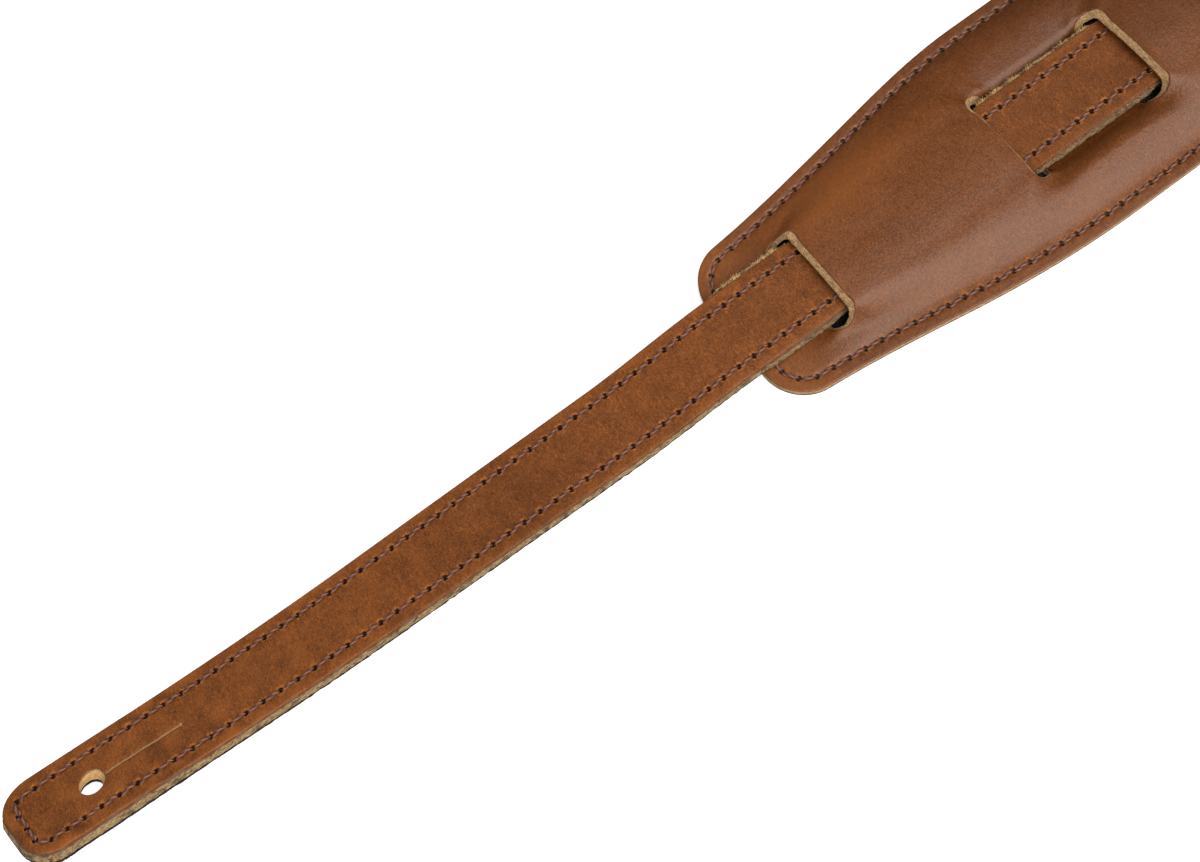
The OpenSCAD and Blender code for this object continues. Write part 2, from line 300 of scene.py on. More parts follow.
def pad_rings():
    """Distances from the rear edge, close together where the outline turns."""
    rear = turn_in(REAR_R, REAR_ROWS)
    nose = PAD_LEN - turn_in(NOSE_R, NOSE_ROWS)[::-1]
    near = np.arange(12.8, 172, 0.85)
    far = np.arange(near[-1] + 2.5, nose[0] - 1.2, 2.5)
    return np.concatenate((rear, near, far, nose))


def pad_seam_path():
    p = np.concatenate((turn_in(REAR_R, 40), np.arange(REAR_R + 0.5, PAD_LEN - NOSE_R - 0.2, 1.0),
                        PAD_LEN - turn_in(NOSE_R, 40)[::-1]))
    x, y = pad_outline(p, PAD_SEAM)
    keep = (x >= PAD_SEAM) & (x <= PAD_LEN - PAD_SEAM) & (y > 0)
    x, y = x[keep], y[keep]
    x = np.concatenate(([PAD_SEAM], x, [PAD_LEN - PAD_SEAM]))
    y = np.concatenate(([y[0]], y, [y[-1]]))
    side = np.stack((x, y), -1)
    other = side[::-1] * (1, -1)
    return np.concatenate(([[PAD_SEAM, 0.0]], side, other, [[PAD_SEAM, 0.0]]))


def pad_seam_holes(seam):
    n = round(seam.s[-1] / PITCH)
    return np.linspace(0, seam.s[-1] - 0.02, n + 1)


TAIL_LINE = Seam(tail_seam_path(), tail_seam_holes)
PAD_LINE = Seam(pad_seam_path(), pad_seam_holes)


# ---------------------------------------------------------------- mesh making
def new_piece(name, co, faces, body, nodes=(), material=None, values=None):
    """A smooth mesh object from points in metres, riding on a body and standing for CAD nodes."""
    mesh = bpy.data.meshes.new(name)
    polygons = [f for part in faces for f in np.asarray(part).tolist()]
    mesh.from_pydata(np.asarray(co).reshape(-1, 3).tolist(), [], polygons)
    for key, v in (values or {}).items():
        layer = mesh.attributes.new(key, "FLOAT", "POINT")
        layer.data.foreach_set("value", np.asarray(v, np.float32).ravel())
    mesh.polygons.foreach_set("use_smooth", np.ones(len(mesh.polygons), bool))
    mesh.validate()
    piece = bpy.data.objects.new(name, mesh)
    bpy.context.scene.collection.objects.link(piece)
    if material:
        mesh.materials.append(material)
    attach(piece, body)
    if nodes:
        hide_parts(*nodes)
    return piece


class Slab:
    """A flat sheet with a rounded rim and holes, built on rows and columns of flat points."""

    def __init__(self):
        self.x, self.y, self.h, self.faces, self.n = [], [], [], [], 0

    def add(self, x, y, h):
        """Adds points and returns their numbers."""
        x, y, h = (np.array(v, float) for v in np.broadcast_arrays(x, y, h))
        ids = self.n + np.arange(x.size).reshape(x.shape)
        for store, v in ((self.x, x), (self.y, y), (self.h, h)):
            store.append(v.ravel())
        self.n += x.size
        return ids

    def arrays(self):
        return [np.concatenate(v) for v in (self.x, self.y, self.h)]

    def quads(self, ids, skip=(), flip=False):
        """Faces of a block of numbers, apart from skipped row and column ranges."""
        keep = np.ones((ids.shape[0] - 1, ids.shape[1] - 1), bool)
        for i0, i1, j0, j1 in skip:
            keep[i0:i1, j0:j1] = False
        q = np.stack((ids[:-1, :-1], ids[1:, :-1], ids[1:, 1:], ids[:-1, 1:]), -1)[keep]
        self.faces.append(q[:, ::-1] if flip else q)

    def ribbon(self, loops, flip=False):
        """Faces between closed loops of numbers."""
        ids = np.array(loops)
        nxt = np.roll(ids, -1, axis=1)
        q = np.stack((ids[:-1], nxt[:-1], nxt[1:], ids[1:]), -1).reshape(-1, 4)
        self.faces.append(q[:, ::-1] if flip else q)


def loop_of(i0, i1, j0, j1):
    """Row and column of each point round a block of the grid, +y side first, in one direction."""
    a = [(i, j1) for i in range(i0, i1)]
    b = [(i1, j) for j in range(j1, j0, -1)]
    c = [(i, j0) for i in range(i1, i0, -1)]
    d = [(i0, j) for j in range(j0, j1)]
    return np.array(a + b + c + d)


def build_slab(rx, ry, nx, ny, cols, top, low, rim, cuts):
    """rx, ry: the +y outline, row by row. nx, ny: its outward normal. cols: flat y as a share of the row.
    top, low: heights of the two sides. rim: (offset from the outline, height) from top to bottom.
    cuts: holes as (middle x, y of the two ends' middles, radius, reach in x, reach in y, rim)."""
    slab = Slab()
    gx = rx[:, None] + 0 * cols(ry)
    gy = cols(ry)
    plan = []
    for mid_x, ends, radius, reach_x, reach_y, steps in cuts:
        i0, i1 = (int(np.abs(rx - (mid_x + s * reach_x)).argmin()) for s in (-1, 1))
        row = gy[(i0 + i1) // 2]
        j0, j1 = (int(np.abs(row - s * reach_y).argmin()) for s in (-1, 1))
        plan.append((i0, i1, j0, j1, mid_x, ends, radius, steps))
    skip = [c[:4] for c in plan]
    upper = slab.add(gx, gy, top)
    lower = slab.add(gx, gy, low)
    slab.quads(upper, skip)
    slab.quads(lower, skip, flip=True)
    last_i, last_j = upper.shape[0] - 1, upper.shape[1] - 1
    rows = loop_of(0, last_i, 0, last_j)
    i, j = rows[:, 0], rows[:, 1]
    bx, by = gx[i, j], gy[i, j]
    out_x = np.where(i == 0, -1.0, np.where(i == last_i, 1.0, nx[i]))
    out_y = np.where((i == 0) | (i == last_i), 0.0, np.where(j == last_j, ny[i], -ny[i]))
    loops = [upper[i, j]]
    for off, h in rim:
        loops.append(slab.add(bx + out_x * off, by + out_y * off, h))
    loops.append(lower[i, j])
    slab.ribbon(loops)
    for i0, i1, j0, j1, mid_x, ends, radius, steps in plan:
        rows = loop_of(i0, i1, j0, j1)
        i, j = rows[:, 0], rows[:, 1]
        bx, by = gx[i, j], gy[i, j]
        cy = np.clip(by, *ends)
        widen = 0 * cy
        if ends[1] > ends[0]:                         # a slot's cut slopes more round its ends
            widen = 0.65 * smooth((cy - ends[1] + 3.2) / 3.0) + 0.3 * smooth((ends[0] + 3.2 - cy) / 3.0)

        def at_step(off):
            return radius + off + widen * min(1.0, off / CUT_SLOPE)
        far = np.hypot(bx - mid_x, by - cy)
        dx, dy = (bx - mid_x) / far, (by - cy) / far
        start = at_step(steps[0][0])
        shares = np.linspace(0, 1, 11)[1:-1] ** 0.75
        loops = [upper[i, j]]
        for t in shares:
            r = mix(far, start, t)
            loops.append(slab.add(mid_x + dx * r, cy + dy * r, top))
        for off, h in steps:
            r = at_step(off)
            loops.append(slab.add(mid_x + dx * r, cy + dy * r, h))
        end = at_step(steps[-1][0])
        for t in shares[::-1]:
            r = mix(far, end, t)
            loops.append(slab.add(mid_x + dx * r, cy + dy * r, low))
        loops.append(lower[i, j])
        slab.ribbon(loops, flip=True)
    return slab


def edge_steps(depth, soft=RIM, low=0.2, n=6):
    """A cut edge from its rounded top to its lower corner: (offset in from the core, depth)."""
    out = [(soft * math.sin(a), -soft * 0.8 * (1 - math.cos(a))) for a in np.linspace(0.4, math.pi / 2, 4)]
    side = np.linspace(-soft * 0.8, -depth + low, n)[1:]
    out += [(soft, v) for v in side]
    out += [(soft - low * 0.4, -depth + low * 0.3), (soft - low, -depth)]
    return out


def hole_steps(depth, soft=0.3, n=6):
    """A hole's edge: (offset outward from its radius, depth), from the top rim to the lower one."""
    out = [(soft * (1 - math.sin(a)), -soft * (1 - math.cos(a))) for a in np.linspace(0, math.pi / 2, 5)]
    out += [(-0.4 * t, mix(-soft, -depth + 0.2, t)) for t in np.linspace(0, 1, n)[1:]]
    return out + [(-0.3, -depth)]


def rings_to_faces(n, along, around):
    """Side quads and end caps of n tubes, each made of rings of points."""
    ids = np.arange(n * along * around).reshape(n, along, around)
    nxt = np.roll(ids, -1, axis=2)
    q = np.stack((ids[:, :-1], nxt[:, :-1], nxt[:, 1:], ids[:, 1:]), -1).reshape(-1, 4)
    return [q, ids[:, 0].reshape(-1, around)[:, ::-1], ids[:, -1].reshape(-1, around)]


def tubes(seam, place, surface, wide=0.92, high=0.56, around=12, along=15, sink=0.75, lift=0.12, side=1):
    """Every stitch of a seam, hole to hole, as one mesh of twisted thread."""
    first, last = seam.holes[:-1], seam.holes[1:]
    n = len(first)
    t = np.linspace(0, 1, along)
    t = mix(t, smooth(t), 0.35)
    theta = np.arange(around) / around * math.tau
    rng = np.random.default_rng(11)
    sway = rng.uniform(0.7, 1.3, (n, 1))
    s = first[:, None] + (last - first)[:, None] * mix(0.02, 0.98, t)[None]
    aside = -0.40 * sway * np.cos(math.pi * t)[None] * side
    ends = np.abs(2 * t - 1)[None]
    rise = lift - (sink + lift) * ends ** 4 + rng.uniform(-0.04, 0.04, (n, 1))
    thick = 1 - 0.32 * ends ** 5
    lay = theta[None, None] * 2 - math.tau * (s / 2.3)[..., None]
    ridge = 1 + 0.10 * np.cos(lay) + 0.03 * np.cos(3.0 * theta[None, None] + math.tau * (s / 0.9)[..., None])
    lateral = aside[..., None] + wide / 2 * thick[..., None] * ridge * np.cos(theta)
    up = rise[..., None] + high / 2 * thick[..., None] * ridge * np.sin(theta)
    fx, fy = seam.at(np.broadcast_to(s[..., None], lateral.shape), lateral)
    co = place(fx, fy, surface + side * up)
    faces = rings_to_faces(n, along, around)
    if side < 0:
        faces = [f[:, ::-1] for f in faces]
    twist = np.broadcast_to(lay / math.tau, lateral.shape)
    return co.reshape(-1, 3), faces, {"twist": twist.ravel()}


def fibres(base, way, length, radius, rng, droop=0.5, sides=3, joints=4):
    """Short tapered hairs from base points (m), along directions, as one mesh."""
    n = len(base)
    way = way / np.linalg.norm(way, axis=1)[:, None]
    bend = rng.normal(size=(n, 3))
    bend -= (bend * way).sum(1)[:, None] * way
    bend /= np.linalg.norm(bend, axis=1)[:, None] + 1e-9
    other = np.cross(way, bend)
    t = np.linspace(0, 1, joints)
    curl = rng.uniform(-droop, droop, (n, 1))
    line = (base[:, None] + way[:, None] * (length[:, None, None] * t[None, :, None])
            + bend[:, None] * (curl * length[:, None])[..., None] * (t ** 2)[None, :, None])
    theta = np.arange(sides) / sides * math.tau
    r = radius[:, None] * (1 - 0.75 * t)[None]
    ring = (bend[:, None, None] * np.cos(theta)[None, None, :, None]
            + other[:, None, None] * np.sin(theta)[None, None, :, None])
    co = line[:, :, None] + ring * r[..., None, None]
    return co.reshape(-1, 3), rings_to_faces(n, joints, sides)


# ---------------------------------------------------------------- materials
class Graph:
    """A short way to write a material's nodes."""

    def __init__(self, name):
        self.mat = bpy.data.materials.new(name)
        self.mat.use_nodes = True
        self.tree = self.mat.node_tree
        self.tree.nodes.clear()
        self.out = self.node("ShaderNodeOutputMaterial")
        self.bsdf = self.node("ShaderNodeBsdfPrincipled")
        self.tree.links.new(self.bsdf.outputs[0], self.out.inputs[0])
        self.coords = self.node("ShaderNodeTexCoord").outputs["Object"]

    def node(self, kind, **props):
        n = self.tree.nodes.new(kind)
        for k, v in props.items():
            setattr(n, k, v)
        return n

    def feed(self, socket, value):
        if isinstance(value, bpy.types.NodeSocket):
            self.tree.links.new(value, socket)
        elif value is not None:
            if isinstance(value, (tuple, list)) and len(value) == 3 and socket.type == "RGBA":
                value = (*value, 1.0)
            socket.default_value = value

    def attr(self, name):
        return self.node("ShaderNodeAttribute", attribute_name=name).outputs["Fac"]

    def math(self, op, a, b=None, c=None):
        n = self.node("ShaderNodeMath", operation=op)
        for i, v in enumerate((a, b, c)):
            self.feed(n.inputs[i], v)
        return n.outputs[0]

    def span(self, v, lo, hi, to_lo=0.0, to_hi=1.0):
        n = self.node("ShaderNodeMapRange", interpolation_type="SMOOTHSTEP")
        for i, x in enumerate((v, lo, hi, to_lo, to_hi)):
            self.feed(n.inputs[i], x)
        return n.outputs[0]

    def place(self, scale, offset=(0, 0, 0)):
        n = self.node("ShaderNodeMapping")
        self.feed(n.inputs["Vector"], self.coords)
        n.inputs["Scale"].default_value = scale
        n.inputs["Location"].default_value = offset
        return n.outputs[0]

    def noise(self, size, detail=3.0, rough=0.55, stretch=(1, 1, 1), warp=0.0, offset=(0, 0, 0)):
        """Noise whose lumps are about size mm across."""
        n = self.node("ShaderNodeTexNoise")
        k = 1000.0 / size
        self.feed(n.inputs["Vector"], self.place([k * s for s in stretch], offset))
        n.inputs["Scale"].default_value = 1.0
        n.inputs["Detail"].default_value = detail
        n.inputs["Roughness"].default_value = rough
        n.inputs["Distortion"].default_value = warp
        return n.outputs["Fac"]

    def cells(self, size, stretch=(1, 1, 1)):
        n = self.node("ShaderNodeTexVoronoi", feature="F1")
        k = 1000.0 / size
        self.feed(n.inputs["Vector"], self.place([k * s for s in stretch]))
        n.inputs["Scale"].default_value = 1.0
        n.inputs["Randomness"].default_value = 1.0
        return n.outputs["Distance"]

    def blend(self, t, a, b):
        n = self.node("ShaderNodeMix", data_type="RGBA")
        self.feed(n.inputs[0], t)
        self.feed(n.inputs[6], a)
        self.feed(n.inputs[7], b)
        return n.outputs[2]

    def bump(self, height, distance, under=None):
        n = self.node("ShaderNodeBump")
        n.inputs["Distance"].default_value = distance * MM
        n.inputs["Strength"].default_value = 1.0
        self.feed(n.inputs["Height"], height)
        if under:
            self.feed(n.inputs["Normal"], under)
        return n.outputs[0]


def srgb(r, g, b):
    """A colour as seen on a screen, 0 to 255, as a shader's linear one."""
    def lin(v):
        v = v / 255
        return v / 12.92 if v <= 0.04045 else ((v + 0.055) / 1.055) ** 2.4
    return (lin(r), lin(g), lin(b))


def leather(name, dark, base, light, warm, cut, rough, fine, gloss, wear):
    """Oiled leather: mottled face, burnished corner, fibrous cut edge, needle holes and their puckers."""
    g = Graph(name)
    deepest = tuple(0.62 * v for v in dark)
    amber = tuple(0.5 * (u + v) for u, v in zip(light, warm))
    deep, edge, count, beside, pale = (g.attr(n) for n in ("deep", "edge", "stitch", "beside", "pale"))
    big = g.noise(26.0, 4.0, 0.6, warp=0.6)
    mid = g.noise(6.5, 4.0, 0.62, offset=(3, 1, 0))
    small = g.noise(1.15, 3.0, 0.6, stretch=(1.0, 0.62, 1.0))
    tiny = g.noise(0.37, 2.0, 0.6)
    streak = g.noise(0.66, 3.0, 0.65, stretch=(1.5, 0.5, 1.0), warp=0.8, offset=(5, 0, 2))
    colour = g.blend(g.span(big, 0.36, 0.66, 0.2, 0.8), dark, base)
    colour = g.blend(g.math("MULTIPLY", g.span(mid, 0.42, 0.72), 0.4), colour, light)
    colour = g.blend(g.math("MULTIPLY", g.span(small, 0.52, 0.30), 0.6 * fine), colour, deepest)
    colour = g.blend(g.math("MULTIPLY", g.span(streak, 0.50, 0.72), 0.44 * fine), colour, warm)
    colour = g.blend(g.math("MULTIPLY", g.span(streak, 0.46, 0.28), 0.62 * fine), colour, deepest)
    colour = g.blend(g.math("MULTIPLY", g.span(tiny, 0.50, 0.68), min(1.0, 0.62 * fine)), colour, deepest)
    colour = g.blend(g.math("MULTIPLY", g.span(tiny, 0.49, 0.32), min(1.0, 0.46 * fine)), colour, amber)
    # worn lighter towards an edge
    worn = g.math("MULTIPLY", g.span(edge, 3.4, 0.2), g.span(mid, 0.30, 0.62))
    colour = g.blend(g.math("MULTIPLY", worn, wear), colour, warm)
    # pale: per-point zones, mostly painted light and painted shade with some random tone; above 0 paints
    # light towards amber
    painted_light_and_tone = g.math("MULTIPLY", g.math("MAXIMUM", pale, 0.0), g.span(streak, 0.25, 0.7, 0.55, 1.0))
    colour = g.blend(painted_light_and_tone, colour, amber)
    # below 0 paints shade towards deepest
    colour = g.blend(g.math("MAXIMUM", g.math("MULTIPLY", pale, -1.0), 0.0), colour, deepest)
    # needle holes: distance to the nearest one in mm; each hole is painted near black as the shade inside it
    part = g.math("SUBTRACT", g.math("FRACT", g.math("ADD", count, 0.5)), 0.5)
    along = g.math("MULTIPLY", part, PITCH)
    squares = g.math("ADD", g.math("MULTIPLY", along, along), g.math("MULTIPLY", beside, beside))
    apart = g.math("SQRT", squares)
    wobble = g.math("MULTIPLY_ADD", small, 0.35, g.math("SUBTRACT", apart, 0.17))
    pucker = g.math("MULTIPLY", g.span(wobble, 1.9, 0.8), g.span(streak, 0.40, 0.60))
    colour = g.blend(g.math("MULTIPLY", pucker, 0.85), colour, warm)
    # painted shade: the seam's groove is darkened towards dark
    groove = g.span(g.math("ABSOLUTE", beside), 1.0, 0.25)
    colour = g.blend(g.math("MULTIPLY", groove, 0.35), colour, dark)
    hole = g.span(wobble, 0.90, 0.60)
    # painted shade: the inside of each needle hole
    colour = g.blend(hole, colour, srgb(22, 10, 6))
    # the cut edge, by depth below the top
    fibre = g.noise(0.55, 4.0, 0.7, stretch=(0.45, 0.45, 1.6))
    clump = g.noise(1.6, 3.0, 0.6, stretch=(0.6, 0.6, 1.2), offset=(7, 3, 1))
    tan = g.blend(g.span(fibre, 0.36, 0.62), cut[0], cut[1])
    clumped = g.math("MULTIPLY", g.span(clump, 0.48, 0.66), cut[5])
    tan = g.blend(g.math("MULTIPLY", clumped, g.span(deep, 4.2, 3.4)), tan, cut[2])
    # depths past any real one mark torn and hole edges, which are paler
    fresh = g.math("MULTIPLY", g.span(deep, 3.4, 4.2), g.span(fibre, 0.36, 0.60, 0.5, 1.0))
    tan = g.blend(fresh, tan, srgb(214, 170, 112))
    edge_noise = g.math("MULTIPLY_ADD", clump, 0.5, g.math("SUBTRACT", deep, 0.25))
    burnt = g.span(edge_noise, 0.16, 0.42)
    bare = g.span(edge_noise, cut[4], cut[4] + 0.35)
    colour = g.blend(burnt, colour, g.blend(g.span(clump, 0.4, 0.6), cut[3], dark))
    colour = g.blend(bare, colour, tan)
    slit = g.attr("slit")
    colour = g.blend(g.span(g.math("MULTIPLY_ADD", small, 0.5, slit), 0.55, 0.95), colour, cut[1])
    g.feed(g.bsdf.inputs["Base Color"], colour)
    matt = g.math("MULTIPLY_ADD", mid, 0.14, rough - 0.07)
    matt = g.math("ADD", matt, g.math("MULTIPLY", g.math("MAXIMUM", bare, hole), 0.35))
    g.feed(g.bsdf.inputs["Roughness"], g.math("MINIMUM", matt, 1.0))
    g.bsdf.inputs["Specular IOR Level"].default_value = gloss
    g.bsdf.inputs["Specular Tint"].default_value = (1.0, 0.87, 0.78, 1.0)
    grain = g.cells(0.75, stretch=(1.25, 0.85, 1.0))
    relief = g.math("MULTIPLY_ADD", streak, 0.6, g.math("MULTIPLY", grain, 0.5))
    relief = g.math("MULTIPLY_ADD", tiny, 0.25, relief)
    relief = g.math("MULTIPLY_ADD", bare, g.math("MULTIPLY_ADD", fibre, 4.0, -2.0), relief)
    first = g.bump(relief, 0.14 * fine)
    g.feed(g.bsdf.inputs["Normal"], g.bump(g.math("MULTIPLY", hole, -1.0), 0.6, under=first))
    return g.mat


def suede(name, dark, light):
    """Napped black suede."""
    g = Graph(name)
    nap = g.noise(0.6, 4.0, 0.7)
    patch = g.noise(9.0, 3.0, 0.6, warp=0.5)
    t = g.math("MULTIPLY_ADD", nap, 0.7, g.math("MULTIPLY", patch, 0.3))
    g.feed(g.bsdf.inputs["Base Color"], g.blend(g.span(t, 0.35, 0.68), dark, light))
    g.feed(g.bsdf.inputs["Roughness"], g.span(nap, 0.2, 0.8, 0.86, 1.0))
    g.bsdf.inputs["Specular IOR Level"].default_value = 0.1
    g.bsdf.inputs["Sheen Weight"].default_value = 0.1
    g.bsdf.inputs["Sheen Roughness"].default_value = 0.5
    hair = g.noise(0.28, 3.0, 0.7)
    g.feed(g.bsdf.inputs["Normal"], g.bump(g.math("ADD", nap, hair), 0.25))
    return g.mat


def thread(name, dark, base, painted_glint):
    """Waxed twisted thread: painted highlight on the plies' crowns, painted shade between them."""
    g = Graph(name)
    ply = g.math("COSINE", g.math("MULTIPLY", g.attr("twist"), math.tau))
    grey = g.noise(0.35, 3.0, 0.6)
    # painted shade in the valleys between plies
    colour = g.blend(g.span(ply, -0.6, 0.5), dark, base)
    # painted highlight on the plies' crowns
    painted_shine = g.math("MULTIPLY", g.span(ply, 0.2, 1.0), g.span(grey, 0.42, 0.66))
    g.feed(g.bsdf.inputs["Base Color"], g.blend(g.math("MULTIPLY", painted_shine, 0.8), colour, painted_glint))
    g.feed(g.bsdf.inputs["Roughness"], g.span(grey, 0.3, 0.7, 0.42, 0.62))
    g.bsdf.inputs["Specular IOR Level"].default_value = 0.35
    g.feed(g.bsdf.inputs["Normal"], g.bump(g.math("MULTIPLY_ADD", grey, 0.6, ply), 0.05))
    return g.mat


def plain(name, a, b, size, rough=0.9):
    """A matt fibrous stuff of two tones."""
    g = Graph(name)
    n = g.noise(size, 3.0, 0.6)
    g.feed(g.bsdf.inputs["Base Color"], g.blend(g.span(n, 0.36, 0.64), a, b))
    g.feed(g.bsdf.inputs["Roughness"], g.span(n, 0.2, 0.8, rough - 0.08, rough + 0.06))
    g.bsdf.inputs["Specular IOR Level"].default_value = 0.2
    g.feed(g.bsdf.inputs["Normal"], g.bump(n, 0.1))
    return g.mat


# the cut: three tones of bare fibre, the burnished corner, the depth it is bare from, how clumped it is
TAIL_CUT = (srgb(98, 77, 50), srgb(156, 128, 90), srgb(60, 44, 29), srgb(92, 70, 54), 0.80, 0.8)
PAD_CUT = (srgb(134, 100, 62), srgb(180, 142, 98), srgb(104, 76, 48), srgb(84, 56, 36), 0.2, 0.4)
tail_hide = leather("leather_tail", srgb(92, 48, 16), srgb(113, 61, 22), srgb(126, 70, 26), srgb(170, 95, 32),
                    TAIL_CUT, rough=0.54, fine=1.0, gloss=0.3, wear=0.16)
pad_hide = leather("leather_pad", srgb(88, 44, 9), srgb(106, 55, 13), srgb(117, 63, 16), srgb(152, 83, 20),
                   PAD_CUT, rough=0.44, fine=0.85, gloss=0.7, wear=0.04)
black_suede = suede("suede_black", srgb(16, 13, 11), srgb(48, 40, 33))
# the thread's last colour is its painted highlight
seam_thread = thread("thread_brown", srgb(84, 50, 39), srgb(116, 74, 58), srgb(146, 108, 92))
tan_fibre = plain("fibre_tan", srgb(170, 134, 82), srgb(214, 178, 122), 1.0)
foam_grey = plain("foam_grey", srgb(44, 40, 36), srgb(68, 62, 56), 0.8)


# ---------------------------------------------------------------- tail pieces
RAGGED = [(226, 252, 1), (318, 362, 1), (319, 361, -1)]     # where the strap's edge is frayed: x, x, side


def tail_rings(inset):
    """Rows of the tail: distance along, half width and outward normal, with the edge moved in."""
    tip = np.linspace(0, math.pi / 2, 22)
    end_r = 2.0
    end = np.linspace(math.pi / 2, 0, 7)
    x = np.concatenate((TIP_R - TIP_R * np.cos(tip), np.arange(TIP_R + 0.45, 264, 0.45),
                        np.arange(264.6, 378, 0.6), np.arange(379, TAIL_LEN - end_r - 0.3, 1.5),
                        TAIL_LEN - end_r + end_r * np.cos(end)))
    nx = np.zeros_like(x)
    ny = np.ones_like(x)
    w = np.full_like(x, HALF_TAIL)
    k = len(tip)
    nx[:k], ny[:k] = -np.cos(tip), np.sin(tip)
    w[:k] = HALF_TAIL - TIP_R + TIP_R * np.sin(tip)
    k = len(end)
    nx[-k:], ny[-k:] = np.cos(end), np.sin(end)
    w[-k:] = HALF_TAIL - end_r + end_r * np.sin(end)
    return x - inset * nx, w - inset * ny, nx, ny


def tail_cols(fine):
    """Columns across the tail, as a function of a row's half width."""
    if not fine:
        part = np.linspace(0, 1, 9)
    else:
        part = np.array([0, .12, .3, .8, 2.2, 4.2, 6.0, 7.0, 7.5, 7.85, 8.15, 8.5, 8.85, 9.15, 9.5, 10.0,
                         10.8, 11.7, HALF_TAIL - RIM]) / (HALF_TAIL - RIM)
    both = np.concatenate((-part[:0:-1], part))
    return lambda w: w[:, None] * both[None]


def tail_edge(x, y):
    """Distance in from the tail's outline."""
    side = HALF_TAIL - np.abs(y)
    cx, cy = TIP_R, HALF_TAIL - TIP_R
    corner = TIP_R - np.hypot(np.minimum(0, x - cx), np.maximum(0, np.abs(y) - cy))
    return np.where(x < cx, np.minimum(side, np.where(np.abs(y) > cy, corner, x)), side)


def seam_dip(count, beside, groove, half, pit, hole, ring):
    """How far a skin sinks along its seam: a groove, a pit at each needle hole, and a low ring round that."""
    apart = np.hypot(((count + 0.5) % 1.0 - 0.5) * PITCH, beside)
    return (groove * np.exp(-(beside / half) ** 2) + pit * np.exp(-(apart / hole) ** 2)
            - ring * np.exp(-((apart - 1.3) / 0.5) ** 2))


def tail_skin():
    rx, ry, nx, ny = tail_rings(RIM)
    cuts = [(HOLE_X, (0, 0), HOLE_R, 6.0, 6.0, [(o, TAIL_T + d) for o, d in hole_steps(TAIL_T - SUEDE_T)])]
    rim = [(o, TAIL_T + d) for o, d in edge_steps(TAIL_T - SUEDE_T)]
    slab = build_slab(rx, ry, nx, ny, tail_cols(True), TAIL_T, SUEDE_T, rim, cuts)
    x, y, h = slab.arrays()
    edge = np.minimum(tail_edge(x, y), np.hypot(x - HOLE_X, y) - HOLE_R)
    count, beside = TAIL_LINE.beside(x, y)
    deep = TAIL_T - h
    face = np.where(deep < 0.01, 1.0, 0.0)
    dip = seam_dip(count, beside, 0.16, 0.75, 0.42, 0.55, 0.07)
    in_slit = smooth((x - HOLE_X - HOLE_R + 0.6) / 0.5) * smooth((SLIT_END - x) / 0.6)
    wander = 0.05 * np.sin(x * 0.9) + 0.03 * np.sin(x * 2.3 + 1)
    slit = 0.92 * in_slit * np.exp(-((y - wander) / 0.24) ** 2)
    cross = np.exp(-((x - SLIT_END + 0.2) / 0.3) ** 2) * smooth((0.85 - np.abs(y)) / 0.4)
    slit = np.maximum(slit, 0.8 * cross) * face
    uneven = 0.10 * waves(x, y, 34, 3) + 0.05 * waves(x, y, 7, 4) + 0.025 * waves(x * 1.6, y * 0.5, 2.6, 5)
    h = h + face * (uneven * smooth(edge / 1.5) - dip - 0.45 * slit)
    bare = smooth((deep - 0.8) / 0.4) * smooth((TAIL_T - SUEDE_T + 0.02 - deep) / 0.1)
    rough = bare * (0.07 * waves(x + h, y - h, 1.7, 6) + 0.08 * waves(x, h * 3, 4.5, 7)
                    + 0.05 * waves(x, h * 2, 0.9, 8))
    torn = np.where(y > 0, smooth((deep - 0.12) / 0.2), 0.6 * smooth((deep - 0.55) / 0.4))
    torn = torn * smooth((TAIL_T - SUEDE_T + 0.02 - deep) / 0.1)
    torn = torn * sum(smooth((x - lo) / 3) * smooth((hi - x) / 4) for lo, hi, _ in RAGGED[:2])
    rough = rough + torn * (0.86 + 0.14 * waves(x, 0 * x, 3.1, 25) + 0.2 * waves(x, 0 * x, 0.8, 26))
    deep = deep + 4.0 * torn * np.where(y > 0, 1, 0)
    deep = deep + 3.2 * smooth((HOLE_R + 0.16 - np.hypot(x - HOLE_X, y)) / 0.1) * smooth((deep - 0.2) / 0.1)
    outward = np.sign(y) * np.where(x < 3, 0, 1)
    y = y + rough * outward
    x = x - rough * np.where(x < 3, 1, 0)
    co = on_tail(x, y, h)
    # painted light and shade: lighter towards the tip, darker towards the pad and in a band near x = 148; the
    # waves add random tone
    painted_light_zones = (0.12 * smooth((170 - x) / 120) - 0.22 * smooth((x - 225) / 50)
             - 0.2 * np.exp(-((x - 148) / 24) ** 2))
    pale = painted_light_zones + (0.12 + 0.16 * smooth((95 - x) / 70)) * waves(x, y, 10, 31)
    return new_piece("tail_skin", co, slab.faces, "tail", ["tail_leather"], tail_hide,
                     {"deep": deep, "edge": edge, "stitch": count, "beside": beside, "slit": slit,
                      "pale": pale})


def lining_hole(x, reach):
    """A button hole through the suede, a little smaller than the leather's."""
    return (x, (0, 0), HOLE_R - 0.35, reach, reach, [(0.05, SUEDE_T - 0.1), (0.0, 0.4), (0.1, 0.05)])


